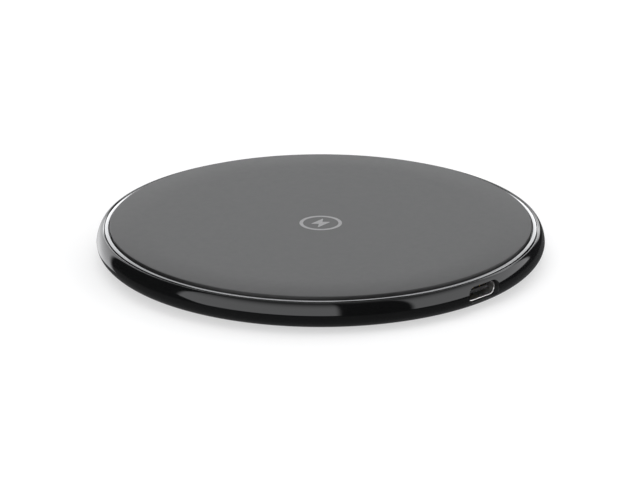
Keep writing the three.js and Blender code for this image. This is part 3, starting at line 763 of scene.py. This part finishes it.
def case_screw(name):
    """A countersunk screw with a cross recess and a helical thread."""
    head_top = groove_top + SCREW_HEAD_RADIUS - SCREW_RADIUS
    tip = groove_top + SCREW_HEIGHT
    head = rounded([(0, groove_top, 0), (SCREW_HEAD_RADIUS, groove_top, 0.06 * MM),
                    (SCREW_RADIUS - THREAD_DEPTH / 2, head_top, 0.05 * MM), (0, head_top, 0)], 3)
    loops = [round_loop([radius] * SCREW_COLUMNS, z) for radius, z in head[1:-1]]
    for j in range(1, int((tip - head_top) / THREAD_ROW) + 1):
        z = head_top + THREAD_ROW * j
        point = min(1.0, (tip - z) / SCREW_RADIUS + 0.5)
        spokes = []
        for k in range(SCREW_COLUMNS):
            phase = (z / THREAD_PITCH - k / SCREW_COLUMNS) % 1
            ridge = max(0.0, 1 - abs(2 * phase - 1) / RIDGE_SHARE)
            spokes.append((SCREW_RADIUS - THREAD_DEPTH * (1 - ridge)) * point)
        loops.append(round_loop(spokes, z))
    screw = new_piece(name + "_look", *moved(loft(loops), *screws[name]), 50)
    arms = []
    for wide, deep in ((RECESS_SPAN, RECESS_WIDTH), (RECESS_WIDTH, RECESS_SPAN)):
        arm = loft(plate_loops(wide, deep, groove_top - MM, groove_top + RECESS_DEPTH, 0.1 * MM))
        arms.append(new_piece("arm", *moved(arm, *screws[name])))
    combine(screw, "DIFFERENCE", *arms)
    place(screw, steel)


def ferrite_shield():
    """The ferrite disc, with a slot for the inner lead."""
    disc = turned_ring("ferrite_shield", 0.12 * MM)
    width = 2.0 * MM
    inner = radii("tx_coil")[0] - width
    depth = ferrite_radius + MM - inner
    slot = loft(plate_loops(width, depth, ferrite_bottom - MM, ferrite_top + MM, 0.5 * MM))
    slot = moved(moved(slot, 0, -inner - depth / 2), 0, 0, LEAD_ANGLE)
    return combine(disc, "DIFFERENCE", new_piece("slot", *slot))


place(top_frame(), frame_plastic)
place(turned_ring("cover_adhesive", 0.04 * MM), tape)
place(turned_ring("foot_adhesive", 0.03 * MM), tape)
place(turned_ring("coil_film", 0.03 * MM), film)
place(turned_ring("foam_pad", 0.3 * MM), foam)
place(ferrite_shield(), ferrite)
for name in screws:
    case_screw(name)

# ---- coil, leads and thermistor

COIL_WIRE = 1.15 * MM
LITZ_LAY = 14 * MM  # length of one twist
LITZ_BUNDLES = 7
LITZ_BULGE = 0.06  # of a bundle, over the wire's radius
LITZ_STEP = 0.8 * MM
LITZ_CREASE = 60  # sharper edges than this, in degrees, show as edges
LEAD_GAP = 0.12 * MM
LEAD_WRAP = radians(20)  # that the outer lead follows the coil's edge
LEAD_REACH = 2.5 * MM

coil_inner, coil_outer = radii("tx_coil")
coil_bottom, coil_top = levels("tx_coil")
board_inner = min(radius for radius, _ in corners_of("main_board"))


def sweep(path, section, lay=0.0):
    """A closed tube along a path. The section gives its radius at each of its points, and it
    turns once round the path in a length of lay."""
    points = [Vector(point) for point in path]
    loops, travelled = [], 0.0
    for i, point in enumerate(points):
        along = (points[min(i + 1, len(points) - 1)] - points[max(i - 1, 0)]).normalized()
        across = along.cross(Vector((0, 0, 1))).normalized()
        over = across.cross(along)
        travelled += (point - points[max(i - 1, 0)]).length
        twist = TURN * travelled / lay if lay else 0.0
        loop = []
        for k, radius in enumerate(section):
            angle = TURN * k / len(section) + twist
            loop.append(tuple(point + across * radius * cos(angle)
                              + over * radius * sin(angle)))
        loops.append(loop)
    return loft(loops)


def litz(radius, per_bundle=3):
    """Radii of a bundled wire's section."""
    count = LITZ_BUNDLES * per_bundle
    return [radius * (1 - LITZ_BULGE + LITZ_BULGE * cos(TURN * k / per_bundle))
            for k in range(count)]


def smooth_path(points, step=0.25 * MM):
    """Points of the centripetal curve through a few points, about a step apart."""
    known = [Vector(point) for point in points]
    known = [2 * known[0] - known[1], *known, 2 * known[-1] - known[-2]]
    path = []
    for p0, p1, p2, p3 in zip(known, known[1:], known[2:], known[3:]):
        t = [0.0]
        for a, b in ((p0, p1), (p1, p2), (p2, p3)):
            t.append(t[-1] + sqrt((b - a).length))
        count = max(2, round((p2 - p1).length / step))
        for k in range(count):
            now = t[1] + (t[2] - t[1]) * k / count
            rungs = [p0, p1, p2, p3]
            for spans in (((0, 1), (1, 2), (2, 3)), ((0, 2), (1, 3)), ((1, 2),)):
                rungs = [rungs[n].lerp(rungs[n + 1], (now - t[i]) / (t[j] - t[i]))
                         for n, (i, j) in enumerate(spans)]
            path += rungs
    return [*path, known[-2]]


def from_front(radius, angle, z):
    """A point, with its angle from -Y towards +X."""
    return radius * sin(angle), -radius * cos(angle), z


def tx_coil():
    """The flat spiral of twisted wire, from the inner lead to where the outer lead leaves it."""
    half = COIL_WIRE / 2
    turns = round((coil_outer - coil_inner) / COIL_WIRE) - 1
    start, end = LEAD_ANGLE, TURN * turns - LEAD_ANGLE - LEAD_WRAP
    middle = (coil_bottom + coil_top) / 2
    path, angle = [], start
    while angle < end:
        share = (angle - start) / (end - start)
        radius = coil_inner + half + (coil_outer - coil_inner - COIL_WIRE) * share
        path.append(from_front(radius, angle, middle))
        angle += LITZ_STEP / radius
    path.append(from_front(coil_outer - half, end, middle))
    return new_piece("tx_coil_look", *sweep(path, litz(half), LITZ_LAY), LITZ_CREASE)


def coil_lead(name, stations):
    """Twisted wire through a few (radius, angle, z) stations."""
    path = smooth_path([from_front(*station) for station in stations])
    wire = sweep(path, litz(LEAD_DIAMETER / 2, 2), LITZ_LAY / 2)
    place(new_piece(name + "_look", *wire, LITZ_CREASE), copper)


def coil_lead_inner():
    """It drops into the ferrite's slot and runs out along it to the board."""
    level = coil_bottom - LEAD_GAP - LEAD_DIAMETER / 2
    on_board = board_top + LEAD_GAP + LEAD_DIAMETER / 2
    stations = [(coil_inner - LEAD_DIAMETER, coil_bottom + LEAD_DIAMETER / 2), (coil_inner, level),
                (coil_inner + LEAD_DIAMETER, level), ((coil_inner + ferrite_radius) / 2, level),
                (ferrite_radius - LEAD_DIAMETER, level), (ferrite_radius, level),
                (board_inner + LEAD_REACH / 3, on_board), (board_inner + LEAD_REACH, on_board)]
    coil_lead("coil_lead_inner", [(radius, LEAD_ANGLE, z) for radius, z in stations])


def coil_lead_outer():
    """It leaves the coil's edge over the ferrite and drops to the board beside the other."""
    level = coil_bottom + LEAD_DIAMETER / 2 + LEAD_GAP
    on_board = board_top + LEAD_GAP + LEAD_DIAMETER / 2
    clear = coil_outer + LEAD_DIAMETER / 2 + LEAD_GAP
    stations = [(clear, LEAD_WRAP, level), (clear + LEAD_GAP, LEAD_WRAP / 2, level),
                (ferrite_radius, LEAD_WRAP / 20, level), (rib_outer, 0, (level + on_board) / 2),
                (board_inner + LEAD_REACH / 3, 0, on_board),
                (board_inner + LEAD_REACH, 0, on_board)]
    coil_lead("coil_lead_outer", [(r, -LEAD_ANGLE - turn, z) for r, turn, z in stations])


def thermistor():
    """A bead with two legs out to the board."""
    bead_radius, leg_radius, spacing = 0.6 * MM, 0.15 * MM, 1.2 * MM
    angle = radians(31)
    reach = ferrite_radius - 3.25 * MM
    ferrite_gap, board_gap = 0.05 * MM, 0.02 * MM
    bead_z = ferrite_bottom - ferrite_gap - bead_radius
    on_board = board_top + board_gap + leg_radius
    outline = [(bead_radius * cos(a), bead_z + bead_radius * sin(a))
               for a in (-QUARTER + pi * k / 16 for k in range(1, 16))]
    profile = [(0, bead_z - bead_radius), *outline, (0, bead_z + bead_radius)]
    x, y, _ = from_front(reach, angle, 0)
    bead = new_piece("thermistor_look", *lathe(profile, 32, (x, y)))
    legs = []
    for side in (-spacing / 2, spacing / 2):
        stations = [(side / 2, -reach, bead_z), (side, -ferrite_radius, bead_z),
                    (side, -board_inner - 0.3 * MM, on_board + 0.1 * MM),
                    (side, -board_inner - 2 * MM, on_board)]
        leg = sweep(smooth_path(stations), [leg_radius] * 12)
        legs.append(moved(leg, 0, 0, angle))
    return combine(bead, "UNION", merged("legs", *legs))


place(tx_coil(), copper)
coil_lead_inner()
coil_lead_outer()
place(thermistor(), epoxy)

# ---- the circuit board

BOARD_HALF_ANGLE = radians(72)
BOARD_CORNER = 0.6 * MM
BOARD_EDGE = 0.04 * MM
LAND_LIFT = 0.015 * MM  # a land's thickness over the board
LAND_RIM = (0.12 * MM, 0.35 * MM)  # round a screw hole and round its boss
LEAD_LAND = (1.5 * MM, 2.0 * MM)  # under a lead of the coil
LAND_INSET = 1.1 * MM  # from a lead's end to its land's middle
END_LAND = 0.28  # length of the land under a terminal, over its part's length
END_LAND_PLACE = 0.41  # its middle from the part's middle, over that length
CHIP_INSET = 0.06 * MM  # of a package's body behind its pads
CHIP_STAND = 0.04 * MM  # of the body over the board
CHIP_EDGE = 0.06 * MM
DIMPLE_SHARE = 0.09  # a dimple's radius, over the package's shorter side
DIMPLE_DEPTH = 0.06 * MM
CHIP_PAD = (0.4 * MM, 0.2 * MM)  # length and height
CHIP_CORNERS = 0.8 * MM  # of a side without pads, both ends together


def main_board():
    """The crescent, with rounded corners, screw holes and slots for the receptacle's tabs."""
    board_outer = max(radius for radius, _ in corners_of("main_board"))
    steps = 96
    arc = [BOARD_HALF_ANGLE * (2 * k / steps - 1) for k in range(steps + 1)]
    outline = [from_front(board_outer, a, 0) for a in arc]
    outline += [from_front(board_inner, a, 0) for a in reversed(arc)]
    ends = (0, steps, steps + 1, 2 * steps + 1)
    points = rounded([(x, y, BOARD_CORNER if i in ends else 0)
                      for i, (x, y, _) in enumerate(outline)], 4)
    loops = []
    for z, inset in ((board_bottom, BOARD_EDGE), (board_bottom + BOARD_EDGE, 0),
                     (board_top - BOARD_EDGE, 0), (board_top, BOARD_EDGE)):
        loops.append([(x, y, z) for x, y in shrunk(points, inset)])
    board = new_piece("main_board_look", *loft(loops))
    low, high = board_bottom - MM, board_top + MM
    cuts = [lathe(band(0, SCREW_HOLE, low, high), SMALL_COLUMNS, spot) for spot in board_screws]
    slot = loft(plate_loops(TAB_THICKNESS + 2 * TAB_CLEARANCE, TAB_LENGTH + 2 * TAB_CLEARANCE,
                            low, high, 0.3 * MM))
    cuts += [moved(slot, x, y) for x, y in tab_places]
    return combine(board, "DIFFERENCE", merged("cuts", *cuts))


def shrunk(points, inset):
    """An anticlockwise outline, moved inwards."""
    result = []
    for i, point in enumerate(points):
        before, after = Vector(points[i - 1]), Vector(points[(i + 1) % len(points)])
        along = (after - before).normalized()
        result.append((point[0] - along.y * inset, point[1] + along.x * inset))
    return result


def block_of(node):
    """Centre, turn, length, width, bottom and top of a CAD block. Its turn is the nearest to the
    one that faces the pad's middle."""
    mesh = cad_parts[node].data
    low, high = levels(node)
    corners = sorted({(round(v.co.x, 7), round(v.co.y, 7)) for v in mesh.vertices
                      if abs(v.co.z - low) < TOUCH})
    x, y = (sum(values) / len(corners) for values in zip(*corners))
    first, *others = corners
    near = min(others, key=lambda corner: dist(corner, first))
    facing = atan2(x, -y)
    edge = atan2(near[1] - first[1], near[0] - first[0])
    turn = facing + remainder(edge - facing, QUARTER)
    flat, _ = moved(([(a - x, b - y, 0) for a, b in corners], []), 0, 0, -turn)
    length, width = (2 * max(point[axis] for point in flat) for axis in (0, 1))
    return x, y, turn, length, width, low, high


def long_block(node):
    """The same, with its length along its longer side."""
    x, y, turn, length, width, low, high = block_of(node)
    if width > length:
        length, width, turn = width, length, turn + QUARTER
    return x, y, turn, length, width, low, high


def end_capped(node, body, terminal, inset):
    """A ceramic or ferrite block with a tinned terminal at each end."""
    x, y, turn, length, width, low, high = long_block(node)
    edge, rim = 0.12 * MM, 0.025 * MM  # rounding, and the terminal's thickness
    half = length / 2
    cap = inset * length
    stations = [(-half, edge), (-half + 0.3 * edge, 0.3 * edge), (-half + edge, 0),
                (-half + cap, 0), (-half + cap + rim, rim)]
    stations += [(-position, inset_by) for position, inset_by in reversed(stations)]
    middle_z, half_z = (low + high) / 2, (high - low) / 2
    loops = []
    for position, by in stations:
        ring = rectangle(width / 2 - by, half_z - by, edge)
        loops.append([(position, v, middle_z + w) for v, w in ring])
    piece = new_piece(node + "_look", *moved(loft(loops), x, y, turn))
    place(piece, [body, terminal])
    for polygon in piece.data.polygons:
        centre = polygon.center
        along = (centre.x - x) * cos(turn) + (centre.y - y) * sin(turn)
        polygon.material_index = int(abs(along) > half - cap)


def chip(node, pads_per_side, sides=2):
    """A moulded package with a dimple at its first pin, and tinned pads along its sides."""
    x, y, turn, length, width, low, high = block_of(node)
    body = loft(plate_loops(length - 2 * CHIP_INSET, width - 2 * CHIP_INSET, low + CHIP_STAND, high,
                            0.15 * MM, CHIP_EDGE))
    piece = new_piece(node + "_look", *moved(body, x, y, turn))
    radius = DIMPLE_SHARE * min(length, width)
    offset = 2.2 * radius + CHIP_INSET
    dimple = lathe(band(0, radius, high - DIMPLE_DEPTH, high + MM), 32,
                   (offset - length / 2, width / 2 - offset))
    combine(piece, "DIFFERENCE", new_piece("dimple", *moved(dimple, x, y, turn)))
    place(piece, epoxy)
    pads = []
    for side in range(sides):
        at_end = side % 2 == 0 or sides == 2
        across, span = (length, width) if at_end else (width, length)
        pitch = (span - CHIP_CORNERS) / pads_per_side
        pad_length, pad_height = CHIP_PAD
        pad = loft(plate_loops(pad_length, 0.5 * pitch, low, low + pad_height, 0.05 * MM))
        facing = TURN * side / sides
        for k in range(pads_per_side):
            row = moved(pad, (across - pad_length) / 2, pitch * (k + 0.5 - pads_per_side / 2))
            pads.append(moved(moved(row, 0, 0, facing), x, y, turn))
    place(merged(node + "_pads", *pads), tin)


def solder_pads():
    """Tinned lands on the board: rings round its holes and a land under each soldered end."""
    low, high = board_top - LAND_LIFT, board_top + LAND_LIFT
    rim = band(SCREW_HOLE + LAND_RIM[0], BOSS_RADIUS + LAND_RIM[1], low, high)
    lands = [lathe(rim, SMALL_COLUMNS, spot) for spot in board_screws]
    land = loft(plate_loops(*LEAD_LAND, low, high, 0.25 * MM))
    for angle in (LEAD_ANGLE, -LEAD_ANGLE):
        x, y, _ = from_front(board_inner + LEAD_REACH - LAND_INSET, angle, 0)
        lands.append(moved(land, x, y, angle))
    for name in (*nodes_named("capacitor"), "filter_inductor", "sense_resistor"):
        x, y, turn, length, width, _, _ = long_block(name)
        end = loft(plate_loops(END_LAND * length, width + 0.2 * MM, low, high, 0.1 * MM))
        for side in (-1, 1):
            lands.append(moved(moved(end, side * END_LAND_PLACE * length, 0), x, y, turn))
    place(merged("solder_pads", *lands), tin)


place(main_board(), solder_mask)
solder_pads()
for name in nodes_named("capacitor"):
    end_capped(name, ceramic, tin, 0.2)
end_capped("filter_inductor", ferrite, tin, 0.2)
end_capped("sense_resistor", epoxy, tin, 0.16)
chip("controller_ic", 8, 4)
chip("bridge_mosfet_1", 4)
chip("bridge_mosfet_2", 4)
chip("voltage_regulator", 3)

# ---- floor, light and camera

VIEW_AZIMUTH = radians(-46.4)
VIEW_ELEVATION = radians(19.9)
VIEW_DISTANCE = 2.0
VIEW_LENS = 504.6
FRAMING_DROP = 3.05 * MM  # middle of the picture under the ring's middle
FRAMING_SHIFT = 0.16 * MM  # and to its left
FLOOR_HALF = 2.5
FLOOR_GLOW = 0.55  # the floor is a table lit from beneath, so that its shadows stay pale


def floor():
    material = surface("pale_floor", (grey(0.42), grey(0.44)), 400, (0.75, 0.85), 300, (2, 0.002),
                       ior=1.3)
    steps = 8
    places = [FLOOR_HALF * (2 * k / steps - 1) for k in range(steps + 1)]
    vertices = [(x, y, 0) for y in places for x in places]
    starts = [j * (steps + 1) + i for j in range(steps) for i in range(steps)]
    faces = [(k, k + 1, k + steps + 2, k + steps + 1) for k in starts]
    shader = material.node_tree.nodes["Principled BSDF"]
    shader.inputs["Emission Color"].default_value = (1, 1, 1, 1)
    shader.inputs["Emission Strength"].default_value = FLOOR_GLOW
    sheet = new_piece("floor", vertices, faces)
    sheet.data.materials.append(material)
    sheet.visible_glossy = False


def overhead_light():
    """A broad light over the pad, which only lights what scatters light."""
    data = bpy.data.lights.new("overhead", "AREA")
    data.shape = "DISK"
    data.size = 3.0
    data.energy = 26.0
    light = bpy.data.objects.new("overhead", data)
    light.location = (0, 0, 2.2)
    light.visible_glossy = False
    light.visible_camera = False
    bpy.context.scene.collection.objects.link(light)


def camera():
    data = bpy.data.cameras.new("camera")
    data.sensor_width = 36
    data.lens = VIEW_LENS
    data.clip_start, data.clip_end = 0.1, 20
    sine, cosine = sin(VIEW_AZIMUTH), cos(VIEW_AZIMUTH)
    back = Vector((sine * cos(VIEW_ELEVATION), -cosine * cos(VIEW_ELEVATION),
                   sin(VIEW_ELEVATION)))
    right = Vector((cosine, sine, 0))
    up = back.cross(right)
    target = Vector((0, 0, trim_top)) - up * FRAMING_DROP - right * FRAMING_SHIFT
    seen = bpy.data.objects.new("camera", data)
    seen.location = target + back * VIEW_DISTANCE
    seen.rotation_mode = "QUATERNION"
    seen.rotation_quaternion = (-back).to_track_quat("-Z", "Y")
    bpy.context.scene.collection.objects.link(seen)
    bpy.context.scene.camera = seen


FRONT = -136.4  # world angle of the direction that faces the camera, in degrees from +X


def studio():
    """The studio round the pad: soft boxes at both sides of the camera, one at the rear left and
    a wide glow behind. Directions are in degrees, round from the camera's side and up."""
    world = bpy.data.worlds.new("studio")
    bpy.context.scene.world = world
    world.use_nodes = True
    nodes = Nodes(world.node_tree)
    split = nodes.add("SeparateXYZ", {0: nodes.add("TexCoord").outputs["Generated"]})
    x, y, z = split.outputs
    degrees = 180 / pi
    heading = nodes.math("MULTIPLY", nodes.math("ARCTAN2", y, x), degrees)
    wrap = nodes.add("Math", {0: nodes.math("SUBTRACT", heading, FRONT), 1: 180.0, 2: -180.0},
                     operation="WRAP")
    side = wrap.outputs[0]
    height = nodes.math("MULTIPLY", nodes.math("ARCSINE", z), degrees)

    def window(value, low, high, soft):
        opens = nodes.ramp(nodes.math("SUBTRACT", value, low), -soft, soft)
        closes = nodes.ramp(value, high - soft, high + soft, 1.0, 0.0)
        return nodes.math("MULTIPLY", opens, closes)

    def behind(opening, closing):
        """1 round the direction straight behind, from one ramp to the other."""
        return nodes.math("ADD", nodes.ramp(side, *opening), nodes.ramp(side, *closing, 1.0, 0.0))

    def product(result, *factors):
        for factor in factors:
            result = nodes.math("MULTIPLY", result, factor)
        return result

    fade = nodes.ramp(height, 18, 64, 1.0, 0.08)
    left_sill = nodes.ramp(side, -84, -58, 8, -4.5)
    left_box = product(window(side, -76, 9, 2.0), window(height, left_sill, 90, 0.8), fade, 2.0)
    right_sill = nodes.ramp(side, 60, 136, -4.5, 1.0)
    right_fade = nodes.ramp(side, 60, 136, 1.0, 0.85)
    right_box = product(window(side, 47, 131, 2.0), window(height, right_sill, 90, 0.8), fade,
                        right_fade, 2.0)
    left_end = nodes.ramp(height, 6, 15, -190, -163)
    rear_left = product(window(side, left_end, -132, 3.0), window(height, -21, 60, 2.0),
                        nodes.ramp(side, -180, -150, 0.35, 1.8),
                        nodes.ramp(height, 10, 50, 1.0, 0.6))
    rear_right = product(window(side, 118, 158, 2.0), window(height, 30, 46, 2.0), 2.1)
    edge_light = product(window(side, 151, 168, 3.0), window(height, 5, 20, 2.0), 1.7)
    glow = product(behind((156, 166), (-163, -156)), nodes.ramp(height, 8, 12),
                   nodes.ramp(height, 14, 28, 2.5, 0.93, smooth=False))
    low_glow = product(behind((164, 172), (-160, -150)), window(height, 8, 14, 2.0), 0.5)
    below = nodes.ramp(height, -10, -8, 0.12, 0.03)
    above = nodes.ramp(height, 45, 75, 0.0, 0.2)
    total = below
    for part in (left_box, right_box, rear_left, rear_right, edge_light, glow, low_glow, above):
        total = nodes.math("ADD", total, part)
    tint = nodes.add("Background", {"Color": (0.98, 0.985, 1.0, 1), "Strength": total})
    white = nodes.add("Background", {"Color": (1, 1, 1, 1), "Strength": 1.0})
    ray = nodes.add("LightPath").outputs["Is Camera Ray"]
    mixed = nodes.add("MixShader", {0: ray, 1: tint.outputs[0], 2: white.outputs[0]})
    nodes.add("OutputWorld", {"Surface": mixed.outputs[0]})


floor()
overhead_light()
studio()
camera()
bpy.context.scene.view_settings.view_transform = "Standard"
